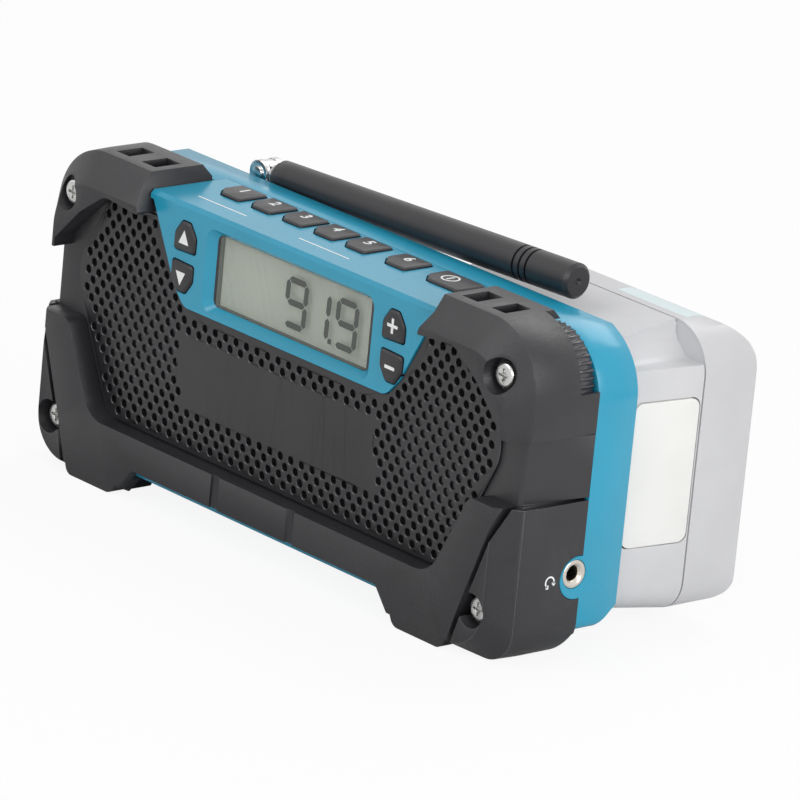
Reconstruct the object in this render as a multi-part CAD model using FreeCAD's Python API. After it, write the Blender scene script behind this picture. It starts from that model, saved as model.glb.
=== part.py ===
import FreeCAD, Part
import math
import os

# Drawing frame in mm: X to the right, Y to the back, Z up.
# Everything is drawn with the middle of the front at X = 0 and moved once at the end.
SHIFT_Y = -23.0
SHIFT_Z = 2.0

# Overall body
HALF_WIDTH = 91.5
GUARD_FRONT = -16.0
GUARD_BEVEL_BACK = -10.4
GUARD_FRONT_INSET = 6.0
GUARD_CREASE_INSET = 0.6
GUARD_CORNER = 9.0
CASE_FRONT = -10.0
SPLIT = 9.5
CASE_BACK = 22.0
GUARD_TOP = 81.5
DECK_TOP = 77.3
DECK_SHEET = 2.2
FOOT_BOTTOM = -2.0
WALL = 2.2

# Front case
CASE_HALF = 89.5
CASE_TOP = DECK_TOP - DECK_SHEET
CASE_BOTTOM = 6.3
CASE_WALL_BACK = -7.0

# Upper guards
UPPER_INNER_X = 55.6
UPPER_ARCH_Z = 72.6
UPPER_END_Z = 54.6
SLOT_FRONT = -7.2
SLOT_BACK = 1.1
SLOT_SPANS = ((58.2, 63.8), (68.7, 73.8))
STRAP_FLOOR = 77.0
STRAP_BAR_UNDER = 79.4

# Lower guard
BAR_BOTTOM = 6.3
BAR_TOP = 14.8
FOOT_INNER = 49.0
CORNER_TOP = 37.8

# Corner screws
SCREW_X_HIGH = 81.9
SCREW_X_LOW = 81.3
SCREW_HIGH = 69.3
SCREW_LOW = 10.6
POCKET_RADIUS = 4.4
POCKET_FLOOR = -11.5
HEAD_RADIUS = 3.15
HEAD_HEIGHT = 2.0
SHANK_RADIUS = 1.5
SHANK_END = -5.0

# Grille
GRILLE_FRONT = -10.5
GRILLE_BACK = -9.0
HOLE_RADIUS = 1.05
HOLE_STEP_X = 4.05
HOLE_STEP_Z = 2.33
HOLE_RIM = 0.6
BARE_HALF = 37.5
BARE_LOW = 25.5
BARE_HIGH = 43.5

# Display fascia
FASCIA_FRONT = -11.0
FASCIA_BACK = -9.0
FASCIA_DECK_BACK = 13.3
WINDOW_HALF = 29.5
WINDOW_LOW = 54.0
WINDOW_HIGH = 72.3

# Keys
TOP_KEY_CENTRES = (-41.6, -29.6, -17.6, -5.6, 6.4, 21.4)
TOP_KEY_WIDTH = 10.0
POWER_CENTRE = 38.8
POWER_WIDTH = 14.0
TOP_KEY_FRONT = 2.3
TOP_KEY_BACK = 11.9
TOP_KEY_PROUD = 0.7
KEY_GAP = 0.3
FRONT_KEY_X = 39.7
FRONT_KEY_HIGH = 69.0
FRONT_KEY_LOW = 58.6
FRONT_KEY_HALF = 4.05
FRONT_KEY_PROUD = 0.7

# Speakers
SPEAKER_X = 56.0
SPEAKER_Z = 39.0
SPEAKER_RADIUS = 18.0

# Tuning wheel
WHEEL_X = 76.8
WHEEL_Z = 65.2
WHEEL_RADIUS = 13.1
WHEEL_FRONT = 3.6
WHEEL_BACK = 8.9
WHEEL_TEETH = 44
SHAFT_RADIUS = 2.5

# Headphone jack
JACK_Y = 7.2
JACK_Z = 19.5
JACK_RING_RADIUS = 3.6
JACK_BORE = 1.8

# Antenna
WHIP_RADIUS = 4.5
WHIP_Y = 26.7
PIVOT_X = -54.6
PIVOT_Z = 77.6
WHIP_TILT = 2.05
WHIP_START = 4.2
WHIP_END = 116.8

# Battery
PACK_LEFT = 10.0
PACK_BOTTOM = 3.0
PACK_TOP = 75.5
PACK_FRONT = 22.3
PACK_SEAM = 44.0
PACK_BACK = 62.0
PACK_CORNER = 12.0
PACK_BACK_TOP = 13.0
PACK_BACK_LOW = 8.0
PACK_SHOULDER = 67.0
RAIL_Z = 41.0
CELL_RADIUS = 9.1


def vec(x, y, z):
    return FreeCAD.Vector(x, y, z)


def box(x0, x1, y0, y1, z0, z1):
    return Part.makeBox(x1 - x0, y1 - y0, z1 - z0, vec(x0, y0, z0))


def rod_y(x, z, radius, y0, y1):
    return Part.makeCylinder(radius, y1 - y0, vec(x, y0, z), vec(0, 1, 0))


def rod_x(y, z, radius, x0, x1):
    return Part.makeCylinder(radius, x1 - x0, vec(x0, y, z), vec(1, 0, 0))


def rod_z(x, y, radius, z0, z1):
    return Part.makeCylinder(radius, z1 - z0, vec(x, y, z0), vec(0, 0, 1))


def rounded_edges(points, radii):
    """Closed chain of lines and arcs through 3D corner points, each corner rounded."""
    count = len(points)
    starts = []
    for i in range(count):
        before = points[i - 1]
        here = points[i]
        after = points[(i + 1) % count]
        radius = radii[i]
        if radius <= 0:
            starts.append((here, here, None))
            continue
        a = (before - here).normalize()
        b = (after - here).normalize()
        angle = a.getAngle(b)
        reach = radius / math.tan(angle / 2)
        middle = (a + b).normalize()
        centre = here + middle * (radius / math.sin(angle / 2))
        on_arc = centre - middle * radius
        starts.append((here + a * reach, here + b * reach, on_arc))
    edges = []
    for i in range(count):
        first, second, on_arc = starts[i]
        if on_arc is not None:
            edges.append(Part.Arc(first, on_arc, second).toShape())
        following = starts[(i + 1) % count][0]
        if second.distanceToPoint(following) > 1e-6:
            edges.append(Part.makeLine(second, following))
    return edges


def front_wire(points, radii, y):
    corners = [vec(p[0], y, p[1]) for p in points]
    return Part.Wire(rounded_edges(corners, radii))


def prism(points, y0, y1, radii=None):
    """Outline in X and Z pushed from y0 to y1."""
    if radii is None:
        radii = [0] * len(points)
    face = Part.Face(front_wire(points, radii, y0))
    return face.extrude(vec(0, y1 - y0, 0))


def flat_prism(points, z0, z1, radii=None):
    """Outline in X and Y pushed from z0 to z1."""
    if radii is None:
        radii = [0] * len(points)
    corners = [vec(p[0], p[1], z0) for p in points]
    face = Part.Face(Part.Wire(rounded_edges(corners, radii)))
    return face.extrude(vec(0, 0, z1 - z0))


def side_prism(points, x0, x1, radii=None):
    """Outline in Y and Z pushed from x0 to x1."""
    if radii is None:
        radii = [0] * len(points)
    corners = [vec(x0, p[0], p[1]) for p in points]
    face = Part.Face(Part.Wire(rounded_edges(corners, radii)))
    return face.extrude(vec(x1 - x0, 0, 0))


def mirrored(points):
    """Right half outline from bottom middle up to top middle, with its mirror image."""
    return points + [(-p[0], p[1]) for p in reversed(points)]


def flip(shape):
    return shape.mirror(vec(0, 0, 0), vec(1, 0, 0))


def fuse_all(shapes):
    result = shapes[0]
    if len(shapes) > 1:
        result = result.multiFuse(shapes[1:])
    return result.removeSplitter()


def cut_all(shape, tools):
    return shape.cut(Part.makeCompound(tools)) if tools else shape


# Body blocks
def guard_outline(side, top, low):
    half = HALF_WIDTH - side
    return mirrored([(half, FOOT_BOTTOM + low), (half, GUARD_TOP - top)])


def guard_block():
    """Outer envelope of the rubber guards with its bevelled front edge."""
    low = GUARD_CORNER
    radii = [low, 17, 17, low]
    front = front_wire(guard_outline(GUARD_FRONT_INSET, 8.0, 2.6), [11, 13, 13, 11], GUARD_FRONT)
    crease = front_wire(guard_outline(GUARD_CREASE_INSET, 0, 0), radii, GUARD_BEVEL_BACK)
    wide = front_wire(guard_outline(0, 0, 0), radii, -4.0)
    bevel = Part.makeLoft([front, crease], True, True)
    cheek = Part.makeLoft([crease, wide], True, True)
    body = prism(guard_outline(0, 0, 0), -4.0, SPLIT, radii)
    return fuse_all([bevel, cheek, body])


def case_block(shrink, y0, y1):
    half = CASE_HALF - shrink
    low = CASE_BOTTOM + shrink
    high = CASE_TOP - shrink
    radius = 13 - shrink
    points = mirrored([(half, low), (half, high)])
    return prism(points, y0, y1, [radius * 0.5, radius, radius, radius * 0.5])


def fascia_outline(grow):
    points = [(54.5 + grow, CASE_TOP + DECK_SHEET), (43.0 + grow, 56.0), (38.5 + grow, 51.2 - grow)]
    points = points + [(-p[0], p[1]) for p in reversed(points)]
    return points


def fascia_radii():
    return [0, 8, 4, 4, 8, 0]


def grille_outline(grow):
    right = [(64.5 + grow, 14.9 - grow), (81.8 + grow, 50.0), (70.5 + grow, 71.0 + grow)]
    return mirrored(right)


def grille_radii():
    return [9, 12, 6, 6, 12, 9]


def wheel_room(radius):
    return rod_y(WHEEL_X, WHEEL_Z, radius, WHEEL_FRONT - 0.4, SPLIT + 0.1)


def screw_places():
    places = []
    for side in (-1, 1):
        places.append((side * SCREW_X_HIGH, SCREW_HIGH))
        places.append((side * SCREW_X_LOW, SCREW_LOW))
    return places


def ear_shape(grow, x0, x1):
    disc = rod_x(8.2, 18.5, 5.4 + grow, x0, x1)
    return disc


# Black body
def make_front_case():
    shell = case_block(0, CASE_FRONT, SPLIT)
    shell = shell.cut(case_block(WALL, CASE_WALL_BACK, SPLIT + 1))
    cuts = []
    cuts.append(prism(grille_outline(0.15), CASE_FRONT - 1, GRILLE_BACK, grille_radii()))
    cuts.append(prism(fascia_outline(0.15), CASE_FRONT - 1, FASCIA_BACK, fascia_radii()))
    for side in (-1, 1):
        cuts.append(rod_y(side * SPEAKER_X, SPEAKER_Z, 16.0, CASE_FRONT - 1, CASE_WALL_BACK + 1))
    cuts.append(box(-28.8, 28.8, CASE_FRONT - 1, CASE_WALL_BACK + 1, 53.8, 72.6))
    for side in (-1, 1):
        cuts.append(box(side * FRONT_KEY_X - 4.9, side * FRONT_KEY_X + 4.9, -11, -6, 53.6, 73.8))
    cuts.append(box(-48.5, 47.0, TOP_KEY_FRONT - 0.8, SPLIT + 1, CASE_TOP - WALL - 1, CASE_TOP + 1))
    cuts.append(wheel_room(WHEEL_RADIUS + 0.7))
    cuts.append(rod_x(JACK_Y, JACK_Z, JACK_RING_RADIUS + 0.1, 80, 92))
    bosses = []
    for x, z in screw_places():
        bosses.append(rod_y(x, z, 3.4, CASE_WALL_BACK - 0.5, -4.4))
        cuts.append(rod_y(x, z, SHANK_RADIUS, -12, -4))
    shell = shell.cut(Part.makeCompound(cheek_blocks(True)))
    shell = fuse_all([shell] + bosses + cheek_blocks(False))
    return cut_all(shell, cuts)


def cheek_blocks(trim):
    """Flared side walls between the guards, and the wedge that comes off in front of them."""
    wall = CASE_HALF - WALL
    low = CORNER_TOP + 0.8
    high = UPPER_END_Z - 0.3
    if trim:
        points = [(87.7, -10.1), (90.5, -10.1), (90.5, -3.1), (89.5, -3.1), (88.6, -9.1)]
        block = flat_prism(points, low - 0.4, high)
    else:
        points = [(wall, -9.6), (88.1, -9.6), (88.6, -9.1), (91.4, SPLIT), (wall, SPLIT)]
        block = flat_prism(points, low, high)
    return [block, flip(block)]


def upper_region(side):
    points = [
        (UPPER_INNER_X, 90),
        (UPPER_INNER_X, DECK_TOP),
        (53.0, UPPER_ARCH_Z - 1.2),
        (66.5, UPPER_ARCH_Z),
        (75.5, 66.3),
        (84.6, 57.0),
        (84.6, UPPER_END_Z),
        (99, UPPER_END_Z),
        (99, 90),
    ]
    radii = [0, 0, 0.5, 6, 8, 1.5, 0, 0, 0]
    shape = prism(points, -20, SPLIT, radii)
    if side < 0:
        shape = flip(shape)
    return shape


def strap_slots():
    cuts = []
    for first, last in SLOT_SPANS:
        cuts.append(box(first, last, SLOT_FRONT, SLOT_BACK, STRAP_FLOOR, GUARD_TOP + 1))
    low = SLOT_SPANS[0][0]
    high = SLOT_SPANS[1][1]
    cuts.append(box(low, high, SLOT_FRONT, SLOT_BACK, STRAP_FLOOR, STRAP_BAR_UNDER))
    return cuts


def screw_pocket(x, z):
    pocket = rod_y(x, z, POCKET_RADIUS, -20, POCKET_FLOOR)
    hole = rod_y(x, z, SHANK_RADIUS + 0.15, -13, CASE_FRONT + 1)
    return [pocket, hole]


def make_upper_guard(side, block):
    shape = block.common(upper_region(side))
    shape = shape.cut(case_block(0, CASE_FRONT, SPLIT + 1))
    cuts = strap_slots()
    cuts = cuts + screw_pocket(SCREW_X_HIGH, SCREW_HIGH)
    cuts.append(side_prism([(5.9, 81.6), (9.6, 77.9), (9.6, 82.5), (5.9, 82.5)], 40, 99))
    if side < 0:
        cuts = [flip(c) for c in cuts]
    if side > 0:
        cuts.append(wheel_room(WHEEL_RADIUS + 0.7))
        cuts.append(wheel_notch())
    cuts.append(prism(fascia_outline(0.1), FASCIA_FRONT, SPLIT + 1, fascia_radii()))
    return cut_all(shape, cuts)


def wheel_notch():
    """Open corner in front of the rear case where the thumb reaches the wheel."""
    return box(76.3, 99, WHEEL_FRONT - 0.4, SPLIT + 0.1, 64.8, 90)


def lower_region():
    right = [
        (FOOT_INNER - 2, BAR_BOTTOM),
        (55.0, FOOT_BOTTOM - 1),
        (72.6, FOOT_BOTTOM - 1),
        (77.4, 11.5),
        (87.2, CORNER_TOP),
        (77.0, CORNER_TOP),
        (65.5, BAR_TOP),
    ]
    return mirrored(right)


def lower_radii():
    right = [0, 0, 0, 0, 0, 2.5, 8.5]
    return right + right[::-1]


def make_lower_guard(block):
    arms = block.common(prism(lower_region(), -20, CASE_FRONT, lower_radii()))
    plate = flat_prism([(-14.0, -15.0), (-13.4, -16.0), (12.4, -16.0), (13.0, -15.0)], BAR_BOTTOM, BAR_TOP)
    relief = prism([(-16.5, 6), (15.5, 6), (15.5, 15), (-16.5, 15)], -16.5, -15.4)
    feet = []
    for side in (-1, 1):
        foot = box(55.2, 72.0, CASE_FRONT, 1.0, FOOT_BOTTOM, CASE_BOTTOM)
        foot = foot.common(side_prism([(-11, -3), (-3, -3), (4, 7), (-11, 7)], 50, 80))
        toe = prism([(50.2, 6.3), (54.6, FOOT_BOTTOM), (72.2, FOOT_BOTTOM), (74.4, 4.0), (74.4, 6.3)],
                    GUARD_FRONT, CASE_FRONT, [0, 3, 2.5, 0, 0])
        feet.append(foot if side > 0 else flip(foot))
        feet.append(toe if side > 0 else flip(toe))
    shape = fuse_all([arms] + feet)
    shape = shape.cut(relief)
    shape = fuse_all([shape, plate])
    tongue_room = box(-50.3, 50.3, -13.2, 0, 0, 6.25)
    return shape.cut(tongue_room)


def corner_region():
    return [
        (74.2, FOOT_BOTTOM - 1),
        (78.9, 11.5),
        (88.7, CORNER_TOP),
        (99, CORNER_TOP),
        (99, FOOT_BOTTOM - 1),
    ]


def make_lower_corner(side, block):
    shape = block.common(prism(corner_region(), -20, SPLIT))
    shape = shape.cut(case_block(0, CASE_FRONT, SPLIT + 1))
    heel = side_prism([(5.0, -4), (9.0, 3.8), (12, 4.4), (12, -4)], 60, 99)
    tools = screw_pocket(SCREW_X_LOW, SCREW_LOW) + [heel]
    if side > 0:
        tools.append(ear_shape(0.2, 60, 99))
    shape = cut_all(shape, tools) if side > 0 else flip(cut_all(shape, tools))
    pieces = sorted(shape.Solids, key=lambda s: s.Volume)
    return pieces[-1]


def make_grille():
    """Flat plate with staggered round holes, left bare where the middle band is."""
    cover = prism(fascia_outline(0.15), -12, -8, fascia_radii())
    blank = prism(grille_outline(0), GRILLE_FRONT, GRILLE_BACK, grille_radii()).cut(cover)
    front = [f for f in blank.Faces if f.BoundBox.YMax < GRILLE_FRONT + 0.01][0]
    border = front.OuterWire
    wires = [border]
    columns = int(80 / HOLE_STEP_X)
    rows = int(56 / HOLE_STEP_Z)
    for i in range(-columns, columns + 1):
        for j in range(0, rows):
            x = i * HOLE_STEP_X
            z = 17.5 + j * HOLE_STEP_Z
            if j % 2 == 1:
                x = x + HOLE_STEP_X / 2
            if in_bare_band(x, z):
                continue
            centre = vec(x, GRILLE_FRONT, z)
            if not front.isInside(centre, 0.01, True):
                continue
            if border.distToShape(Part.Vertex(centre))[0] < HOLE_RADIUS + HOLE_RIM:
                continue
            ring = Part.makeCircle(HOLE_RADIUS, centre, vec(0, 1, 0))
            wires.append(Part.Wire(ring))
    face = Part.makeFace(Part.makeCompound(wires), "Part::FaceMakerBullseye")
    return face.extrude(vec(0, GRILLE_BACK - GRILLE_FRONT, 0)).Solids[0]


def in_bare_band(x, z):
    slant = 0.12 * (z - BARE_LOW)
    return BARE_LOW < z < BARE_HIGH and -BARE_HALF - slant < x < BARE_HALF - slant


# Fascia and display
def arch_points(high):
    h = FRONT_KEY_HALF
    if high:
        return [(-h, -3.9), (h, -3.6), (h, 0.5), (1.6, 3.85), (-1.6, 3.85), (-h, 0.5)]
    return [(-h, 3.9), (-h, -0.5), (-1.6, -3.85), (1.6, -3.85), (h, -0.5), (h, 3.6)]


def arch_radii(high):
    if high:
        return [1, 1, 2.5, 1.4, 1.4, 2.5]
    return [1, 2.5, 1.4, 1.4, 2.5, 1]


def front_key_prism(x, z, high, grow, y0, y1):
    scale = (FRONT_KEY_HALF + grow) / FRONT_KEY_HALF
    points = [(x + p[0] * scale, z + p[1] * scale) for p in arch_points(high)]
    return prism(points, y0, y1, arch_radii(high))


def front_key_places():
    places = []
    for side in (-1, 1):
        places.append((side * FRONT_KEY_X, FRONT_KEY_HIGH, True))
        places.append((side * (FRONT_KEY_X + 0.2), FRONT_KEY_LOW, False))
    return places


def top_key_outline(centre, width, grow):
    left = centre - width / 2 - grow
    right = centre + width / 2 + grow
    front = TOP_KEY_FRONT - grow
    back = TOP_KEY_BACK + grow
    return [(left + 3.4, front), (right, front), (right, back), (left, back), (left, front + 3.4)]


def top_key_places():
    places = [(c, TOP_KEY_WIDTH) for c in TOP_KEY_CENTRES]
    places.append((POWER_CENTRE, POWER_WIDTH))
    return places


def make_fascia():
    front = prism(fascia_outline(0), FASCIA_FRONT, FASCIA_BACK, fascia_radii())
    deck = box(-54.5, 54.5, FASCIA_FRONT, FASCIA_DECK_BACK, CASE_TOP, DECK_TOP)
    shape = fuse_all([front, deck])
    crease = [e for e in shape.Edges if abs(e.BoundBox.YMin - FASCIA_FRONT) < 0.01
              and abs(e.BoundBox.ZMin - DECK_TOP) < 0.01 and e.BoundBox.YLength < 0.01
              and e.BoundBox.ZLength < 0.01 and e.BoundBox.XLength > 50]
    if crease:
        shape = shape.makeChamfer(1.0, crease)
    window = front_wire([(-WINDOW_HALF, WINDOW_LOW), (WINDOW_HALF, WINDOW_LOW),
                         (WINDOW_HALF, WINDOW_HIGH), (-WINDOW_HALF, WINDOW_HIGH)],
                        [2, 2, 2, 2], FASCIA_BACK + 0.2)
    rim = front_wire([(-WINDOW_HALF - 2.4, WINDOW_LOW - 1.6), (WINDOW_HALF + 2.4, WINDOW_LOW - 1.6),
                      (WINDOW_HALF + 2.4, WINDOW_HIGH + 1.6), (-WINDOW_HALF - 2.4, WINDOW_HIGH + 1.6)],
                     [3, 3, 3, 3], FASCIA_FRONT - 0.1)
    cuts = [Part.makeLoft([rim, window], True, True)]
    for x, z, high in front_key_places():
        cuts.append(front_key_prism(x, z, high, KEY_GAP, -12, -8))
    for centre, width in top_key_places():
        cuts.append(flat_prism(top_key_outline(centre, width, KEY_GAP), 74, 79, [1] * 5))
    return cut_all(shape, cuts)


def make_lens():
    points = [(-WINDOW_HALF, WINDOW_LOW), (WINDOW_HALF, WINDOW_LOW),
              (WINDOW_HALF, WINDOW_HIGH), (-WINDOW_HALF, WINDOW_HIGH)]
    return prism(points, -9.0, -7.8, [2, 2, 2, 2]).common(box(-28.7, 28.7, -10, -7, 53.9, 72.5))


def make_lcd_module():
    return prism([(-28.4, 54.2), (28.4, 54.2), (28.4, 72.2), (-28.4, 72.2)], -7.8, -4.6)


def make_front_board():
    return box(-46, 46, -4.5, -3.1, 53.0, 71.4)


def make_key_board():
    return box(-50, 48, -1.5, 11.4, 68.0, 69.4).cut(box(-60, 60, -6, -3.0, 60, 80))


def make_top_key(centre, width):
    cap = flat_prism(top_key_outline(centre, width, 0), CASE_TOP - 0.6, DECK_TOP + TOP_KEY_PROUD, [0.7] * 5)
    middle = (TOP_KEY_FRONT + TOP_KEY_BACK) / 2
    stem = rod_z(centre, middle, 2.0, 71.4, CASE_TOP)
    flange = box(centre - 2.4, centre + 2.4, middle - 2.4, middle + 2.4, 71.4, 72.2)
    shape = fuse_all([cap, stem, flange])
    top = [e for e in shape.Edges if abs(e.BoundBox.ZMin - DECK_TOP - TOP_KEY_PROUD) < 0.01]
    return shape.makeChamfer(0.4, top)


def make_front_key(x, z, high):
    cap = front_key_prism(x, z, high, 0, FASCIA_FRONT - FRONT_KEY_PROUD, -7.9)
    stem = rod_y(x, z, 1.8, -8.5, -5.4)
    shape = fuse_all([cap, stem])
    edge = [e for e in shape.Edges if abs(e.BoundBox.YMax - FASCIA_FRONT + FRONT_KEY_PROUD) < 0.01]
    return shape.makeChamfer(0.5, edge)


# Rear case
def rear_block(shrink, y0, y1):
    half = HALF_WIDTH - shrink
    low = 4.2 + shrink
    points = mirrored([(half, low), (half, 70.9 - 0.6 * shrink), (80.0 - 0.26 * shrink, DECK_TOP - shrink)])
    return prism(points, y0, y1, [3, 16.8 - shrink, 0, 0, 16.8 - shrink, 3])


def make_rear_case():
    shape = rear_block(0, SPLIT, CASE_BACK)
    heel = side_prism([(16.0, 4.1), (22.1, 9.9), (23, 4.1)], -95, 95)
    brow = side_prism([(21.6, 77.4), (22.1, 76.9), (23, 78)], -95, 95)
    shape = cut_all(shape, [heel, brow])
    room = rear_block(WALL, SPLIT - 1, CASE_BACK - 2.4)
    room = room.cut(side_prism([(14.8, 6.1), (20.2, 11.5), (21, 6.1)], -95, 95))
    shape = shape.cut(room)
    tongue = box(-50, 50, -13.0, SPLIT + 1, 4.2, 6.2)
    ear = ear_shape(0, CASE_HALF, HALF_WIDTH)
    ear = ear.common(box(80, 99, 0, SPLIT + 0.5, 0, 40))
    rails = make_rail_stem()
    shape = fuse_all([shape, tongue, ear, rails])
    notch = box(-54.7, 54.7, SPLIT - 1, FASCIA_DECK_BACK + 0.2, CASE_TOP - 0.1, DECK_TOP + 1)
    jack = rod_x(JACK_Y, JACK_Z, JACK_RING_RADIUS + 0.1, 80, 99)
    return cut_all(shape, [notch, jack])


def make_rail_stem():
    stem = box(14, 70, CASE_BACK - 0.5, 25.4, RAIL_Z - 9, RAIL_Z + 9)
    head = box(14, 70, 25.4, 28.4, RAIL_Z - 13, RAIL_Z + 13)
    return fuse_all([stem, head])


def make_terminals():
    blades = []
    for z in (-6, 6):
        blades.append(box(26, 40, 28.4, 32.0, RAIL_Z + z - 0.4, RAIL_Z + z + 0.4))
    return blades


def make_main_board():
    return box(-80, 68, 14.6, 16.2, 14.0, 70.0)


# Speakers
def speaker_frame(x):
    flange = rod_y(x, SPEAKER_Z, SPEAKER_RADIUS, CASE_WALL_BACK, -5.6)
    ring = Part.makeCone(16.6, 9.5, 7.4, vec(x, -5.6, SPEAKER_Z), vec(0, 1, 0))
    room = Part.makeCone(15.4, 8.3, 7.4, vec(x, -5.6, SPEAKER_Z), vec(0, 1, 0))
    mouth = rod_y(x, SPEAKER_Z, 15.4, CASE_WALL_BACK - 1, -5.6)
    floor = rod_y(x, SPEAKER_Z, 9.5, 1.8, 2.8)
    shape = fuse_all([flange, ring, floor])
    return cut_all(shape, [room.cut(floor), mouth, rod_y(x, SPEAKER_Z, 4.2, 1, 4)])


def speaker_cone(x):
    outer = Part.makeCone(15.3, 4.6, 5.6, vec(x, -6.6, SPEAKER_Z), vec(0, 1, 0))
    inner = Part.makeCone(14.5, 3.8, 5.6, vec(x, -6.601, SPEAKER_Z), vec(0, 1, 0))
    dome = Part.makeSphere(6.0, vec(x, 0.2, SPEAKER_Z), vec(0, 1, 0))
    dome = dome.common(rod_y(x, SPEAKER_Z, 5.2, -6.0, -2.6))
    coil = rod_y(x, SPEAKER_Z, 3.6, -3.0, 1.2)
    return fuse_all([outer.cut(inner), dome, coil])


def speaker_magnet(x):
    return rod_y(x, SPEAKER_Z, 9.5, 2.8, 8.6)


# Tuning wheel and jack
def make_wheel():
    disc = rod_y(WHEEL_X, WHEEL_Z, WHEEL_RADIUS, WHEEL_FRONT, WHEEL_BACK)
    cuts = [rod_y(WHEEL_X, WHEEL_Z, SHAFT_RADIUS, WHEEL_FRONT - 1, WHEEL_BACK - 0.8)]
    for k in range(WHEEL_TEETH):
        angle = 2 * math.pi * k / WHEEL_TEETH
        x = WHEEL_X + (WHEEL_RADIUS + 0.15) * math.cos(angle)
        z = WHEEL_Z + (WHEEL_RADIUS + 0.15) * math.sin(angle)
        cuts.append(rod_y(x, z, 0.75, WHEEL_FRONT - 1, WHEEL_BACK + 1))
    return cut_all(disc, cuts)


def make_shaft():
    return rod_y(WHEEL_X, WHEEL_Z, SHAFT_RADIUS, -2.6, WHEEL_BACK - 0.8)


def make_encoder():
    body = box(WHEEL_X - 5.5, WHEEL_X + 5.5, -3.8, 2.6, WHEEL_Z - 5.5, WHEEL_Z + 5.5)
    return body.cut(rod_y(WHEEL_X, WHEEL_Z, SHAFT_RADIUS + 0.05, -2.9, 4))


def make_jack_body():
    body = box(74.0, 87.0, 3.0, 11.4, 15.0, 24.0)
    return body.cut(rod_x(JACK_Y, JACK_Z, JACK_BORE, 76.5, 90))


def make_jack_ring():
    tube = rod_x(JACK_Y, JACK_Z, JACK_RING_RADIUS, 87.0, HALF_WIDTH)
    mouth = Part.makeCone(JACK_BORE, 2.6, 0.8, vec(HALF_WIDTH - 0.8, JACK_Y, JACK_Z), vec(1, 0, 0))
    return tube.cut(rod_x(JACK_Y, JACK_Z, JACK_BORE, 86, 93)).cut(mouth)


# Antenna
def make_antenna_base():
    block = box(PIVOT_X - 5.5, PIVOT_X + 5.5, CASE_BACK, 31.2, 58.0, 72.4)
    edges = [e for e in block.Edges if abs(e.BoundBox.YMin - 31.2) < 0.01]
    block = block.makeFillet(2.0, edges)
    return block.cut(rod_z(PIVOT_X, WHIP_Y, 2.5, 62.0, 73))


def make_swivel():
    post = rod_z(PIVOT_X, WHIP_Y, 2.45, 62.4, 72.6)
    collar = rod_z(PIVOT_X, WHIP_Y, 3.9, 72.6, 74.0)
    shapes = [post, collar]
    for side in (-1, 1):
        inner = WHIP_Y + side * 1.7
        outer = WHIP_Y + side * 3.1
        y0 = min(inner, outer)
        y1 = max(inner, outer)
        eye = rod_y(PIVOT_X, PIVOT_Z, 3.3, y0, y1)
        leg = box(PIVOT_X - 2.3, PIVOT_X + 2.3, y0, y1, 73.9, PIVOT_Z)
        shapes.append(eye)
        shapes.append(leg)
    shape = fuse_all(shapes)
    return shape.cut(rod_y(PIVOT_X, PIVOT_Z, 1.05, WHIP_Y - 5, WHIP_Y + 5))


def make_pin():
    pin = rod_y(PIVOT_X, PIVOT_Z, 1.05, WHIP_Y - 3.1, WHIP_Y + 3.1)
    front = rod_y(PIVOT_X, PIVOT_Z, 1.7, WHIP_Y - 3.7, WHIP_Y - 3.1)
    back = rod_y(PIVOT_X, PIVOT_Z, 1.7, WHIP_Y + 3.1, WHIP_Y + 3.7)
    return fuse_all([pin, front, back])


def tilt(shape):
    shape.rotate(vec(PIVOT_X, WHIP_Y, PIVOT_Z), vec(0, -1, 0), WHIP_TILT)
    return shape


def make_whip_eye():
    eye = rod_y(PIVOT_X, PIVOT_Z, 3.1, WHIP_Y - 1.5, WHIP_Y + 1.5)
    neck = box(PIVOT_X, PIVOT_X + 5.0, WHIP_Y - 1.5, WHIP_Y + 1.5, PIVOT_Z - 2.2, PIVOT_Z + 2.2)
    collar = rod_x(WHIP_Y, PIVOT_Z, 3.2, PIVOT_X + 4.4, PIVOT_X + WHIP_START + 3)
    shape = fuse_all([eye, neck, collar])
    shape = shape.cut(rod_y(PIVOT_X, PIVOT_Z, 1.08, WHIP_Y - 5, WHIP_Y + 5))
    return tilt(shape)


def make_whip():
    x0 = PIVOT_X + WHIP_START
    x1 = PIVOT_X + WHIP_END
    r = WHIP_RADIUS
    profile = [(x0, 0), (x0, r - 1.6), (x0 + 2.2, r - 0.2)]
    for groove in (19.5, 17.2, 14.9):
        g = x1 - groove
        profile = profile + [(g, r), (g, r - 0.55), (g + 0.7, r - 0.55), (g + 0.7, r)]
    profile = profile + [(x1 - 0.9, r), (x1, r - 0.9), (x1, 0.9), (x1 - 0.9, 0)]
    corners = [vec(p[0], WHIP_Y, PIVOT_Z + p[1]) for p in profile]
    face = Part.Face(Part.makePolygon(corners + [corners[0]]))
    shape = face.revolve(vec(0, WHIP_Y, PIVOT_Z), vec(1, 0, 0), 360)
    shape = shape.cut(rod_x(WHIP_Y, PIVOT_Z, 3.2, x0 - 1, x0 + 3))
    return tilt(shape)


# Battery
def pack_outline(shrink):
    left = PACK_LEFT + shrink
    right = HALF_WIDTH - shrink
    low = PACK_BOTTOM + shrink
    high = PACK_TOP - shrink
    return [(left, low), (right, low), (right, high), (left, high)]


def pack_radii(shrink):
    top = PACK_CORNER - shrink
    low = 9.0 - shrink
    return [low, low, top, top]


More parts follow.
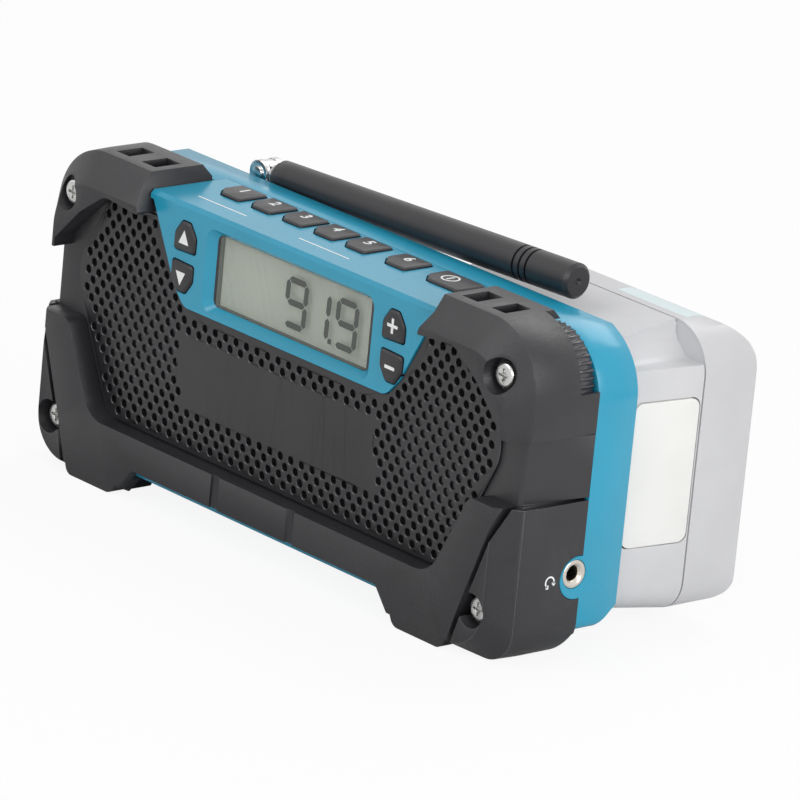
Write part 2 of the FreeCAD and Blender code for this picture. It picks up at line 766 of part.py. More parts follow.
def pack_profile(shrink, x0, x1, end_inset):
    """Side view of the band, pushed along X, with its two ends drawn in a little."""
    steps = [(x0, end_inset + 1.3), (x0 + 0.6, end_inset + 0.45), (x0 + 2.0, end_inset)]
    steps = steps + [(x1 - 2.0, end_inset), (x1 - 0.6, end_inset + 0.45), (x1, end_inset + 1.3)]
    parts = []
    for k in range(len(steps) - 1):
        wires = []
        for x, inset in (steps[k], steps[k + 1]):
            s = shrink + inset
            corners = [vec(x, PACK_SEAM - 3, PACK_BOTTOM + s), vec(x, PACK_BACK - s, PACK_BOTTOM + s),
                       vec(x, PACK_BACK - s, PACK_TOP - s), vec(x, PACK_SEAM - 3, PACK_TOP - s)]
            radii = [0, PACK_BACK_LOW - s, PACK_BACK_TOP - s, 0]
            wires.append(Part.Wire(rounded_edges(corners, radii)))
        parts.append(Part.makeLoft(wires, True, True))
    return fuse_all(parts)


def pack_band(shrink, y0, y1):
    outline = prism(pack_outline(shrink), y0, y1, pack_radii(shrink))
    return outline.common(pack_profile(shrink, PACK_LEFT + shrink, HALF_WIDTH - shrink, 0))


def label_room(grow):
    sheet = box(55 - grow, 80 + grow, 46.6 - grow, 53.9 + grow, 70, PACK_TOP + 1)
    return sheet.cut(pack_profile(0.4, 40, 90, 0))


def make_pack_lower():
    """Deep band that holds the cells, with rounded back edges."""
    shape = pack_band(0, PACK_SEAM, PACK_BACK)
    room = pack_band(2.2, PACK_SEAM - 1, 56.8)
    return cut_all(shape, [room, label_room(0.1)])


def make_pack_label():
    return pack_band(0, PACK_SEAM, PACK_BACK).common(label_room(0))


def tier_block(near_inset):
    near = front_wire(pack_outline(near_inset), pack_radii(near_inset), PACK_FRONT)
    far = front_wire(pack_outline(0.0), pack_radii(0.0), PACK_SEAM)
    return Part.makeLoft([near, far], True, True)


def seam_groove():
    """Thin line left open all round between the tier and the band."""
    outer = prism(pack_outline(-2), PACK_SEAM - 0.45, PACK_SEAM + 1, pack_radii(-2))
    return outer.cut(prism(pack_outline(0.9), PACK_SEAM - 1, PACK_SEAM + 2, pack_radii(0.9)))


def make_pack_upper():
    """Tier next to the radio with the slide channel and the button recess."""
    shape = tier_block(3.0)
    stem = box(0, 71, 20, 25.8, RAIL_Z - 9.4, RAIL_Z + 9.4)
    head = box(0, 71, 25.0, 28.8, RAIL_Z - 13.4, RAIL_Z + 13.4)
    cuts = [stem, head, seam_groove()]
    for z in (-6, 6):
        cuts.append(box(0, 42, 28.0, 32.4, RAIL_Z + z - 0.8, RAIL_Z + z + 0.8))
    cuts.append(button_block(0.3, 84.0, 95))
    cuts.append(prism([(14.5, 6.2), (75.0, 6.2), (75.0, 70.4), (14.5, 70.4)], 36.6, 45, [1] * 4))
    shoulder = [(79.5, 90), (79.5, 71.5), (84.0, PACK_SHOULDER), (99, PACK_SHOULDER), (99, 90)]
    cuts.append(prism(shoulder, 20, PACK_SEAM - 0.01, [0, 4, 4, 0, 0]))
    return cut_all(shape, cuts)


def button_block(grow, x0, x1):
    points = [(24.0 - grow, 22.5 - grow), (43.0 + grow, 22.5 - grow),
              (43.0 + grow, 59.0 + grow), (24.0 - grow, 59.0 + grow)]
    return side_prism(points, x0, x1, [2.5] * 4)


def make_button():
    return button_block(0, 86.4, 95).common(tier_block(2.6))


def make_button_spring():
    turns = []
    for k in range(4):
        ring = Part.makeTorus(2.2, 0.28, vec(84.35 + 0.56 * k, 33.0, 40.8), vec(1, 0, 0))
        turns.append(ring)
    return turns


def make_cells():
    cells = []
    for k in range(3):
        x = 24.5 + k * 19.2
        cells.append(rod_z(x, 46.6, CELL_RADIUS, 6.6, 70.2))
    return cells


def corner_screw(x, z):
    head = rod_y(x, z, HEAD_RADIUS, POCKET_FLOOR - HEAD_HEIGHT, POCKET_FLOOR)
    rim = [e for e in head.Edges if abs(e.BoundBox.YMax - POCKET_FLOOR + HEAD_HEIGHT) < 0.01]
    head = head.makeFillet(0.8, rim)
    shank = rod_y(x, z, SHANK_RADIUS, POCKET_FLOOR, SHANK_END)
    cuts = [box(x - 1.7, x + 1.7, -14, -12.5, z - 0.35, z + 0.35),
            box(x - 0.35, x + 0.35, -14, -12.5, z - 1.7, z + 1.7)]
    return cut_all(fuse_all([head, shank]), cuts)


def save(name, shapes):
    solids = []
    for shape in shapes:
        for solid in shape.Solids:
            if solid.Volume > 0.01:
                solids.append(solid)
    result = solids[0] if len(solids) == 1 else Part.makeCompound(solids)
    result = result.copy()
    result.translate(vec(0, SHIFT_Y, SHIFT_Z))
    result.exportStep("parts/" + name + ".step")
    bounds = result.BoundBox
    print("%-22s %d solid %s valid=%s x %.1f %.1f y %.1f %.1f z %.1f %.1f" % (
        name, len(solids), result.ShapeType, result.isValid(), bounds.XMin, bounds.XMax,
        bounds.YMin, bounds.YMax, bounds.ZMin, bounds.ZMax))


def main():
    os.makedirs("parts", exist_ok=True)
    block = guard_block()
    save("front_case", [make_front_case()])
    save("upper_guard_left", [make_upper_guard(-1, block)])
    save("upper_guard_right", [make_upper_guard(1, block)])
    save("lower_guard", [make_lower_guard(block)])
    save("lower_corner_left", [make_lower_corner(-1, block)])
    save("lower_corner_right", [make_lower_corner(1, block)])
    save("grille_plate", [make_grille()])
    save("display_fascia", [make_fascia()])
    save("rear_case", [make_rear_case()])
    save("display_lens", [make_lens()])
    save("display_module", [make_lcd_module()])
    save("front_board", [make_front_board()])
    save("key_board", [make_key_board()])
    save("main_board", [make_main_board()])
    for side, word in ((-1, "left"), (1, "right")):
        save("speaker_frame_" + word, [speaker_frame(side * SPEAKER_X)])
        save("speaker_cone_" + word, [speaker_cone(side * SPEAKER_X)])
        save("speaker_magnet_" + word, [speaker_magnet(side * SPEAKER_X)])
    save("tuning_wheel", [make_wheel()])
    save("tuning_shaft", [make_shaft()])
    save("tuning_encoder", [make_encoder()])
    save("jack_body", [make_jack_body()])
    save("jack_ring", [make_jack_ring()])
    save("corner_screws", [corner_screw(x, z) for x, z in screw_places()])
    for k in range(6):
        save("preset_key_%d" % (k + 1), [make_top_key(TOP_KEY_CENTRES[k], TOP_KEY_WIDTH)])
    save("power_key", [make_top_key(POWER_CENTRE, POWER_WIDTH)])
    names = ("tune_up_key", "tune_down_key", "volume_up_key", "volume_down_key")
    for name, place in zip(names, front_key_places()):
        save(name, [make_front_key(*place)])
    save("antenna_base", [make_antenna_base()])
    save("antenna_swivel", [make_swivel()])
    save("antenna_pin", [make_pin()])
    save("antenna_eye", [make_whip_eye()])
    save("antenna_whip", [make_whip()])
    save("battery_lower", [make_pack_lower()])
    save("battery_upper", [make_pack_upper()])
    save("battery_label", [make_pack_label()])
    save("battery_button", [make_button()])
    save("battery_spring", make_button_spring())
    save("battery_cells", make_cells())
    save("terminal_blades", make_terminals())


main()
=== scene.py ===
"""Jobsite radio: rubber guards, teal shells, display, keys, tuning wheel, antenna and slide-on pack."""
import math

import bmesh
import bpy
import numpy as np
from mathutils import Matrix, Vector


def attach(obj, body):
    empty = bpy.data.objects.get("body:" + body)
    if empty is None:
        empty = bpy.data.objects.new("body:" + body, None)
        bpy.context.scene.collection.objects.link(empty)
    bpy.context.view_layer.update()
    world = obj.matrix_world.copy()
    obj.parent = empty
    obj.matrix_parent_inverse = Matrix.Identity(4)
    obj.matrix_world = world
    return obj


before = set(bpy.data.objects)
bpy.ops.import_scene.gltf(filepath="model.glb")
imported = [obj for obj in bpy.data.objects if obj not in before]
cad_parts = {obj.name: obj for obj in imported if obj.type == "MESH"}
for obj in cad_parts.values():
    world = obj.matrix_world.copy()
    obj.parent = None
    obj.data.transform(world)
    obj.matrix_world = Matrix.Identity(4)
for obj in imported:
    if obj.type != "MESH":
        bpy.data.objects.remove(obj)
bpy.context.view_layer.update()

bl_info = {
    "name": "Jobsite radio",
    "version": (1, 0, 0),
    "blender": (4, 5, 0),
    "location": "3D View > Sidebar > Radio",
    "description": "Dresses the packed jobsite radio with moulded plastics, rubber, display and print",
    "category": "Object",
}

# Metres in a millimetre, and where the drawing's zero lies in the frame, in millimetres
MM = 0.001
DRAW_Y = -23.0
DRAW_Z = 2.0
X_AXIS = 0
Y_AXIS = 1
Z_AXIS = 2


def linear(code, alpha=1.0):
    """sRGB hex colour as linear values: c/12.92 below 0.04045, else ((c + 0.055)/1.055)^2.4."""
    values = [int(code[i:i + 2], 16) / 255 for i in (1, 3, 5)]
    values = [v / 12.92 if v <= 0.04045 else ((v + 0.055) / 1.055) ** 2.4 for v in values]
    return (*values, alpha)


def place(x, y, z):
    """A point given in the drawing's millimetres, in the frame's metres."""
    return Vector((x * MM, (y + DRAW_Y) * MM, (z + DRAW_Z) * MM))


# Materials
def shaded(colour, factor):
    """A linear colour made darker or lighter by a factor, with full opacity."""
    return tuple(c * factor for c in colour) + (1.0,)


def add_node(tree, kind, links=None, **settings):
    """Adds one node, sets its properties or sockets, and links sockets given as {input: output}."""
    node = tree.nodes.new(kind)
    for key, value in settings.items():
        if hasattr(node, key) and key not in node.inputs:
            setattr(node, key, value)
        else:
            node.inputs[key].default_value = value
    for key, output in (links or {}).items():
        tree.links.new(output, node.inputs[key])
    return node


def new_material(name, **sockets):
    """A material with one shader, its constant sockets set, and the object's own coordinates."""
    material = bpy.data.materials.new(name)
    material.use_nodes = True
    tree = material.node_tree
    tree.nodes.clear()
    shader = add_node(tree, "ShaderNodeBsdfPrincipled")
    for key, value in sockets.items():
        shader.inputs[key.replace("_", " ")].default_value = value
    add_node(tree, "ShaderNodeOutputMaterial", {"Surface": shader.outputs[0]})
    coords = add_node(tree, "ShaderNodeTexCoord")
    return material, tree, shader, coords.outputs["Object"]


TONE_DETAIL = 3.0
POLISH_DETAIL = 4.0
TONE_ENDS = (0.35, 0.65)


def noise_pattern(tree, coords, size, detail):
    """Noise whose patches are size millimetres wide: its scale is 1 / size, in patches per metre."""
    noise = add_node(tree, "ShaderNodeTexNoise", {"Vector": coords}, Scale=1.0 / (size * MM), Detail=detail)
    return noise.outputs["Fac"]


def grain_bump(tree, shader, coords, size, detail, depth, strength):
    """Fine grain of one size and depth, both in millimetres, as small dents in the surface."""
    height = noise_pattern(tree, coords, size, detail)
    bump = add_node(tree, "ShaderNodeBump", {"Height": height}, Strength=strength, Distance=depth * MM)
    tree.links.new(bump.outputs[0], shader.inputs["Normal"])


def tinted(tree, shader, coords, low, high, size):
    """Slow change between two near colours, as moulded plastic shows from flow and handling."""
    pattern = noise_pattern(tree, coords, size, TONE_DETAIL)
    ramp = add_node(tree, "ShaderNodeValToRGB", {"Fac": pattern})
    for element, position, colour in zip(ramp.color_ramp.elements, TONE_ENDS, (low, high)):
        element.position = position
        element.color = colour
    tree.links.new(ramp.outputs[0], shader.inputs["Base Color"])


def rough_variation(tree, shader, coords, low, high, size):
    """Roughness that wanders between two values, so that a highlight breaks up a little."""
    pattern = noise_pattern(tree, coords, size, POLISH_DETAIL)
    spread = add_node(tree, "ShaderNodeMapRange", {"Value": pattern})
    spread.inputs["To Min"].default_value = low
    spread.inputs["To Max"].default_value = high
    tree.links.new(spread.outputs[0], shader.inputs["Roughness"])


def elastomer_overmould(name, low, high, grain_size, strength):
    """Spark-eroded rubber overmould: satin black with a fine sandy grain, about 0.3 mm in the real part."""
    tone_size = 16.67
    polish_size = 1.111
    smoothest = 0.3
    roughest = 0.46
    grain_depth = 0.1
    material, tree, shader, coords = new_material(name, Roughness=0.5, IOR=1.5)
    tinted(tree, shader, coords, low, high, tone_size)
    rough_variation(tree, shader, coords, smoothest, roughest, polish_size)
    grain_bump(tree, shader, coords, grain_size, 2.0, grain_depth, strength)
    return material


def moulded_abs(name, low, high, roughness, grain_size, strength):
    """Injection moulded ABS: near even colour, light texture from the mould, soft broad highlight."""
    tone_size = 22.22
    polish_size = 2.5
    smoothest = roughness - 0.04
    roughest = roughness + 0.05
    grain_depth = 0.03
    material, tree, shader, coords = new_material(name, Roughness=roughness, IOR=1.53)
    tinted(tree, shader, coords, low, high, tone_size)
    rough_variation(tree, shader, coords, smoothest, roughest, polish_size)
    grain_bump(tree, shader, coords, grain_size, 1.0, grain_depth, strength)
    return material


def plated_metal(name, colour, roughness):
    """Plated metal: bright, with fine faint marks that widen the highlight."""
    polish_size = 0.667
    smoothest = roughness * 0.7
    roughest = roughness * 1.4
    mark_size = 0.4
    mark_depth = 0.01
    mark_strength = 0.25
    material, tree, shader, coords = new_material(name, Metallic=1.0, Roughness=roughness, Base_Color=colour)
    rough_variation(tree, shader, coords, smoothest, roughest, polish_size)
    grain_bump(tree, shader, coords, mark_size, 2.0, mark_depth, mark_strength)
    return material


def plain_print(name, colour, roughness):
    """Pad-printed ink: flat colour a little rougher than the plastic below, with thin spots."""
    spot_size = 1.111
    thin = shaded(colour[:3], 0.93)
    material, tree, shader, coords = new_material(name, Roughness=roughness)
    tinted(tree, shader, coords, thin, colour, spot_size)
    return material


def clear_window(name):
    """Moulded clear window over the display: thin, neutral, with a broad soft reflection."""
    polish_size = 3.333
    smoothest = 0.08
    roughest = 0.16
    material, tree, shader, coords = new_material(name, Roughness=0.12, IOR=1.49, Alpha=0.16,
                                                  Base_Color=linear("#C8CEC4"))
    rough_variation(tree, shader, coords, smoothest, roughest, polish_size)
    return material


def glass_cell(name, low, high):
    """Reflective liquid crystal cell: cloudy grey green behind a matt polariser."""
    tone_size = 33.33
    grain_size = 0.2
    grain_depth = 0.01
    grain_strength = 0.15
    material, tree, shader, coords = new_material(name, Roughness=0.42, IOR=1.49)
    tinted(tree, shader, coords, low, high, tone_size)
    grain_bump(tree, shader, coords, grain_size, 1.0, grain_depth, grain_strength)
    return material


# Moulded plastics: name of the real material, two near colours, roughness, grain in mm, its strength
MOULDED = {
    "grille": ("moulded grille ABS", "#1F1E21", "#252427", 0.3, 0.4, 0.3),
    # Lighter, glossier copy of the rubber for the faces of the mould radius: its colour is a painted
    # highlight along the edges.
    "painted_edge_highlight": ("handled elastomer edge", "#4A494C", "#5A595C", 0.26, 0.3, 0.3),
    # Lighter copy of the grille black for the rounded hole lips: a painted highlight at each hole.
    "painted_hole_lip_highlight": ("rounded hole lip", "#3A393C", "#454447", 0.2, 0.3, 0.1),
    "wheel": ("moulded tuning wheel", "#3C3B3F", "#464549", 0.2, 0.3, 0.15),
    "cone": ("aluminium coated cone", "#B9BBBE", "#CDCFD1", 0.3, 0.8, 0.2),
    # Dark ferrite for the magnets, also laid on the back screw heads as the painted shade of their slots.
    "ferrite": ("sintered ferrite", "#3A3A3D", "#454548", 0.6, 0.6, 0.4),
    "board": ("solder mask", "#1F5A35", "#266A40", 0.3, 2.0, 0.2),
    "pack": ("moulded pale grey ABS", "#C4C4C6", "#CACACC", 0.4, 0.5, 0.2),
    "pack_tier": ("moulded mid grey ABS", "#C6C6C8", "#CECED0", 0.34, 0.5, 0.2),
    "pack_button": ("moulded white ABS", "#E2E2DF", "#E8E8E5", 0.35, 0.6, 0.15),
    "label": ("blank polyester label", "#CFDEE1", "#D8E6E9", 0.3, 1.0, 0.05),
    "sleeve": ("shrink sleeve", "#2E7A5A", "#35866A", 0.25, 3.0, 0.2),
}
# Plated metals: name of the real material, colour, roughness
PLATED = {
    "zinc": ("zinc plated steel", "#D4D4D2", 0.26),
    "chrome": ("chromed brass", "#DADADB", 0.12),
    "nickel": ("nickel plated brass", "#D8D2C8", 0.2),
    "contact": ("gold flashed contact", "#C9A65A", 0.25),
}
BLACK_LIGHTER = 1.25
TEAL_LIGHTER = 1.08
MATERIALS = {}


def make_materials(settings):
    """Makes every finish once and keeps it under its short name."""
    black = shaded(settings.black_colour, 1.0)
    black_light = shaded(settings.black_colour, BLACK_LIGHTER)
    teal = shaded(settings.teal_colour, 1.0)
    teal_light = shaded(settings.teal_colour, TEAL_LIGHTER)
    for key, (name, low, high, *rest) in MOULDED.items():
        MATERIALS[key] = moulded_abs(name, linear(low), linear(high), *rest)
    for key, (name, colour, roughness) in PLATED.items():
        MATERIALS[key] = plated_metal(name, linear(colour), roughness)
    MATERIALS.update({
        "rubber": elastomer_overmould("elastomer overmould", black, black_light, 0.3, 1.0),
        "key": elastomer_overmould("silicone key", linear("#232225"), linear("#29282B"), 0.3, 0.45),
        "sheath": elastomer_overmould("antenna rubber", linear("#201F22"), linear("#28272A"), 0.25, 0.3),
        "black": moulded_abs("moulded black ABS", black, black_light, 0.42, 0.4, 0.35),
        "teal": moulded_abs("moulded teal ABS", teal, teal_light, 0.22, 0.5, 0.22),
        "window": clear_window("moulded clear window"),
        "cell": glass_cell("liquid crystal cell", linear("#D8DDD2"), linear("#E0E5D9")),
        "segment": plain_print("dark liquid crystal segment", linear("#4C4F4A"), 0.42),
        "ink": plain_print("white pad print", linear("#F2F4F4"), 0.5),
    })


# Mesh helpers
WELD_DISTANCE = 0.002
SHARP_ANGLE = math.radians(32)
# Edges past this angle, on pieces with the lighter edge material, get that painted highlight.
HIGHLIGHT_EDGE_ANGLE = math.radians(24)
TURN_STEPS = 32


def mesh_piece(name, points, faces, material, body):
    """A piece from arrays of points in the drawing's millimetres and faces of point numbers."""
    points = np.asarray(points, float) * MM
    points[:, Y_AXIS] += DRAW_Y * MM
    points[:, Z_AXIS] += DRAW_Z * MM
    mesh = bpy.data.meshes.new(name)
    mesh.from_pydata(points.tolist(), [], [list(f) for f in faces])
    mesh.update()
    piece = bpy.data.objects.new(name, mesh)
    bpy.context.scene.collection.objects.link(piece)
    piece.data.materials.append(MATERIALS[material])
    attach(piece, body)
    return piece


def split_sharp_edges(piece):
    """Keeps the edges over the sharp angle crisp on a piece that is shaded smooth."""
    split = piece.modifiers.new("sharp edges", "EDGE_SPLIT")
    split.split_angle = SHARP_ANGLE


def dress(names, material, bevel=0.0, segments=2, highlight_material=None, flat=False):
    """Gives CAD nodes a finish, welded edges and a small mould radius on their sharp edges.
    The faces of that radius may take a second material, lighter and glossier, whose lighter colour is a
    painted highlight along those edges."""
    for name in names:
        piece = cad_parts[name]
        piece.data.materials.clear()
        piece.data.materials.append(MATERIALS[material])
        if highlight_material:
            piece.data.materials.append(MATERIALS[highlight_material])
        smooth = np.full(len(piece.data.polygons), not flat)
        piece.data.polygons.foreach_set("use_smooth", smooth)
        weld = piece.modifiers.new("weld", "WELD")
        weld.merge_threshold = WELD_DISTANCE * MM
        if bevel == 0:
            split_sharp_edges(piece)
            continue
        edge = piece.modifiers.new("mould radius", "BEVEL")
        edge.width = bevel * MM
        edge.segments = segments
        edge.limit_method = "ANGLE"
        edge.angle_limit = HIGHLIGHT_EDGE_ANGLE if highlight_material == "painted_edge_highlight" else SHARP_ANGLE
        edge.harden_normals = not flat
        edge.use_clamp_overlap = True
        if highlight_material:
            edge.material = 1


def ring_quads(count):
    """Quads between a ring of count points and the ring after it: k, k + 1, and the two above them."""
    step = np.arange(count)
    following = (step + 1) % count
    return np.stack([step, following, following + count, step + count], axis=1)


def solid_outline(outline, normal_axis, low, high):
    """Closed plate: an outline of N points in the plane across an axis, carried from low to high.
    Point k of the lower ring is (u, v, low) and of the upper ring (u, v, high), axes put in order."""
    outline = np.asarray(outline, float)
    count = len(outline)
    plane = [axis for axis in (X_AXIS, Y_AXIS, Z_AXIS) if axis != normal_axis]
    rings = []
    for level in (low, high):
        ring = np.empty((count, 3))
        ring[:, plane] = outline
        ring[:, normal_axis] = level
        rings.append(ring)
    faces = ring_quads(count).tolist()
    faces.append(list(range(count))[::-1])
    faces.append(list(range(count, 2 * count)))
    return np.vstack(rings), faces


def recalculate(piece):
    """Turns every face of a closed piece outwards."""
    work = bmesh.new()
    work.from_mesh(piece.data)
    bmesh.ops.recalc_face_normals(work, faces=work.faces)
    work.to_mesh(piece.data)
    work.free()


def plate_piece(name, outlines, axis, levels, material, body):
    """Several closed plates as one piece, all between the same two levels along an axis."""
    all_points = []
    all_faces = []
    start = 0
    for outline in outlines:
        points, faces = solid_outline(outline, axis, *levels)
        all_points.append(points)
        all_faces.extend([[v + start for v in f] for f in faces])
        start += len(points)
    piece = mesh_piece(name, np.vstack(all_points), all_faces, material, body)
    recalculate(piece)
    return piece


def glyph_piece(name, text, size, centre, right, up, lift, material, body):
    """A plain number from the built-in typeface, made a thin mesh and set on a surface."""
    half_thickness = 0.02
    stroke_swell = 0.02 * size
    curve_steps = 4
    curve = bpy.data.curves.new(name + "_outline", "FONT")
    curve.body = text
    curve.size = size * MM
    curve.align_x = "CENTER"
    curve.align_y = "CENTER"
    curve.extrude = half_thickness * MM
    curve.offset = stroke_swell * MM
    curve.resolution_u = curve_steps
    source = bpy.data.objects.new(name + "_source", curve)
    bpy.context.scene.collection.objects.link(source)
    depsgraph = bpy.context.evaluated_depsgraph_get()
    mesh = bpy.data.meshes.new_from_object(source.evaluated_get(depsgraph))
    bpy.data.objects.remove(source)
    right = Vector(right)
    up = Vector(up)
    out = right.cross(up)
    matrix = Matrix((right, up, out)).transposed().to_4x4()
    matrix.translation = place(*centre) + out * lift * MM
    mesh.transform(matrix)
    mesh.materials.clear()
    mesh.materials.append(MATERIALS[material])
    piece = bpy.data.objects.new(name, mesh)
    bpy.context.scene.collection.objects.link(piece)
    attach(piece, body)


def turned_faces(rings, start):
    """Faces of a turned shape whose rings of points lie one after the other."""
    quads = ring_quads(TURN_STEPS) + start
    ends = np.arange(TURN_STEPS) + start
    faces = []
    for k in range(rings - 1):
        faces.extend((quads + k * TURN_STEPS).tolist())
    faces.append(ends[::-1].tolist())
    faces.append((ends + (rings - 1) * TURN_STEPS).tolist())
    return faces


def turned_pieces(name, profile, centres, level, material, body):
    """Closed turned shapes facing the back. Each (radius, rise) of the profile gives a ring of points
    (x + radius cos a, level + rise, z + radius sin a) round each centre (x, z)."""
    angle = np.linspace(0, 2 * np.pi, TURN_STEPS, endpoint=False)
    profile = np.asarray(profile, float)
    points = []
    faces = []
    for x, z in centres:
        faces.extend(turned_faces(len(profile), len(points) * len(profile) * TURN_STEPS))
        ring = np.empty((len(profile), TURN_STEPS, 3))
        ring[:, :, X_AXIS] = x + profile[:, :1] * np.cos(angle)
        ring[:, :, Y_AXIS] = level + profile[:, 1:]
        ring[:, :, Z_AXIS] = z + profile[:, :1] * np.sin(angle)
        points.append(ring.reshape(-1, 3))
    piece = mesh_piece(name, np.vstack(points), faces, material, body)
    recalculate(piece)
    piece.data.polygons.foreach_set("use_smooth", np.ones(len(piece.data.polygons), bool))
    split_sharp_edges(piece)


def stroke_axes(start, end):
    """Two points as arrays, with the unit vectors along their line and across it."""
    a = np.array(start, float)
    b = np.array(end, float)
    along = (b - a) / np.linalg.norm(b - a)
    return a, b, along, np.array([-along[1], along[0]])


def bar(start, end, width):
    """Outline of a straight stroke with cut ends: its two ends moved half its width to each side."""
    a, b, _, across = stroke_axes(start, end)
    across = across * width / 2
    return [a + across, b + across, b - across, a - across]


def ring_strip(centre, radius, width, arc, steps):
    """Outline of part of a ring: outer arc forwards, inner arc back, over an arc given in degrees."""
    angles = np.radians(np.linspace(*arc, steps))
    unit = np.stack([np.cos(angles), np.sin(angles)], axis=1)
    outer = centre + unit * (radius + width / 2)
    inner = centre + unit * (radius - width / 2)
    return np.vstack([outer, inner[::-1]])


def plus_outline(x, z, reach, half):
    """Outline of a plus sign: arms that reach out from the centre, each half as wide to either side."""
    corners = [(-reach, -half), (-half, -half), (-half, -reach)]
    corners += [(half, -reach), (half, -half), (reach, -half)]
    corners += [(-u, -v) for u, v in corners]
    return [(x + u, z + v) for u, v in corners]


# Settings
class RadioSettings(bpy.types.PropertyGroup):
    """Sizes and colours that the pieces are made with"""
    black_colour: bpy.props.FloatVectorProperty(
        name="Black plastic", description="Colour of the black shell and guards",
        subtype="COLOR", size=3, min=0, max=1, default=linear("#252427")[:3])
    teal_colour: bpy.props.FloatVectorProperty(
        name="Teal plastic", description="Colour of the display surround and the rear shell",
        subtype="COLOR", size=3, min=0, max=1, default=linear("#2596B6")[:3])
    mould_radius: bpy.props.FloatProperty(
        name="Mould radius", description="Small radius on sharp moulded edges",
        subtype="DISTANCE", unit="LENGTH", precision=5, default=0.35 * MM, min=0.05 * MM, max=1.0 * MM)
    digit_height: bpy.props.FloatProperty(
        name="Digit height", description="Height of the display digits",
        subtype="DISTANCE", unit="LENGTH", precision=4, default=11.4 * MM, min=5 * MM, max=15 * MM)


# Operators
class RADIO_OT_finishes(bpy.types.Operator):
    """Makes every finish that the pieces use"""
    bl_idname = "radio.finishes"
    bl_label = "Finishes"
    bl_options = {"REGISTER", "UNDO"}

    def execute(self, context):
        make_materials(context.scene.radio_settings)
        return {"FINISHED"}


class RADIO_OT_black_shell(bpy.types.Operator):
    """Dresses the black front shell, guards, corner pieces and grille"""
    bl_idname = "radio.black_shell"
    bl_label = "Black shell and guards"
    bl_options = {"REGISTER", "UNDO"}

    def execute(self, context):
        radius = context.scene.radio_settings.mould_radius / MM
        rubber_radius = 1.2 * radius
        hole_radius = 0.18
        guards = ["upper_guard_left", "upper_guard_right", "lower_guard", "lower_corner_left",
                  "lower_corner_right"]
        # The lighter strips on the shell and guard edges are a painted highlight.
        dress(["front_case"], "black", radius, highlight_material="painted_edge_highlight")
        dress(guards, "rubber", rubber_radius, highlight_material="painted_edge_highlight")
        # The grille's hole lips take a lighter colour, a painted highlight at each hole.
        dress(["grille_plate"], "grille", hole_radius, 1, highlight_material="painted_hole_lip_highlight", flat=True)
        dress(["antenna_base"], "black", radius)
        return {"FINISHED"}


class RADIO_OT_teal_shell(bpy.types.Operator):
    """Dresses the teal display surround and rear shell"""
    bl_idname = "radio.teal_shell"
    bl_label = "Teal shell"
    bl_options = {"REGISTER", "UNDO"}

    def execute(self, context):
        dress(["display_fascia"], "teal")
        dress(["rear_case"], "teal", context.scene.radio_settings.mould_radius / MM)
        return {"FINISHED"}


# Strokes of a digit as pairs of corners of its cell, and the strokes that each shown digit lights
SEGMENTS = {
    "a": ((0, 1), (1, 1)), "b": ((1, 1), (1, 0.5)), "c": ((1, 0.5), (1, 0)), "d": ((0, 0), (1, 0)),
    "e": ((0, 0.5), (0, 0)), "f": ((0, 1), (0, 0.5)), "g": ((0, 0.5), (1, 0.5)),
}
LIT = {"9": "abcdfg", "1": "bc"}
# The digits from left to right with the left edge of each, and the dot before the last one
DIGITS = (("9", -2.4), ("1", 6.2), ("9", 16.6))
DIGIT_BOTTOM = 57.4
DIGIT_WIDTH_SHARE = 0.6
DIGIT_LEAN = 0.03
STROKE_WIDTH = 1.6
STROKE_GAP = 0.12 * STROKE_WIDTH
DOT_SIZE = 1.3
DOT_LEFT = 13.9
SEGMENT_LAYER = (-9.04, -9.01)


def segment_outline(left, width, height, code):
    """Six-sided bar between two corners of a digit cell, leaning by DIGIT_LEAN times its height."""
    cell = np.array([width, height])
    corner = np.array([left, DIGIT_BOTTOM])
    start, end = (corner + np.array(share) * cell for share in SEGMENTS[code])
    a, b, along, across = stroke_axes(start, end)
    a = a + along * STROKE_GAP
    b = b - along * STROKE_GAP
    half = STROKE_WIDTH / 2
    along = along * half
    across = across * half
    points = np.array([a, a + along + across, b - along + across, b, b - along - across, a + along - across])
    points[:, 0] += (points[:, 1] - DIGIT_BOTTOM) * DIGIT_LEAN
    return points


class RADIO_OT_display(bpy.types.Operator):
    """Dresses the display window and cell and adds its dark segments"""
    bl_idname = "radio.display"
    bl_label = "Display"
    bl_options = {"REGISTER", "UNDO"}

    def execute(self, context):
        dress(["display_lens"], "window")
        dress(["display_module"], "cell")
        height = context.scene.radio_settings.digit_height / MM
        width = height * DIGIT_WIDTH_SHARE
        outlines = []
        for mark, left in DIGITS:
            for code in LIT[mark]:
                outlines.append(segment_outline(left, width, height, code))
        outlines.append(bar((DOT_LEFT, DIGIT_BOTTOM), (DOT_LEFT + DOT_SIZE, DIGIT_BOTTOM), DOT_SIZE))
        plate_piece("display_segments", outlines, Y_AXIS, SEGMENT_LAYER, "segment", "radio")
        return {"FINISHED"}


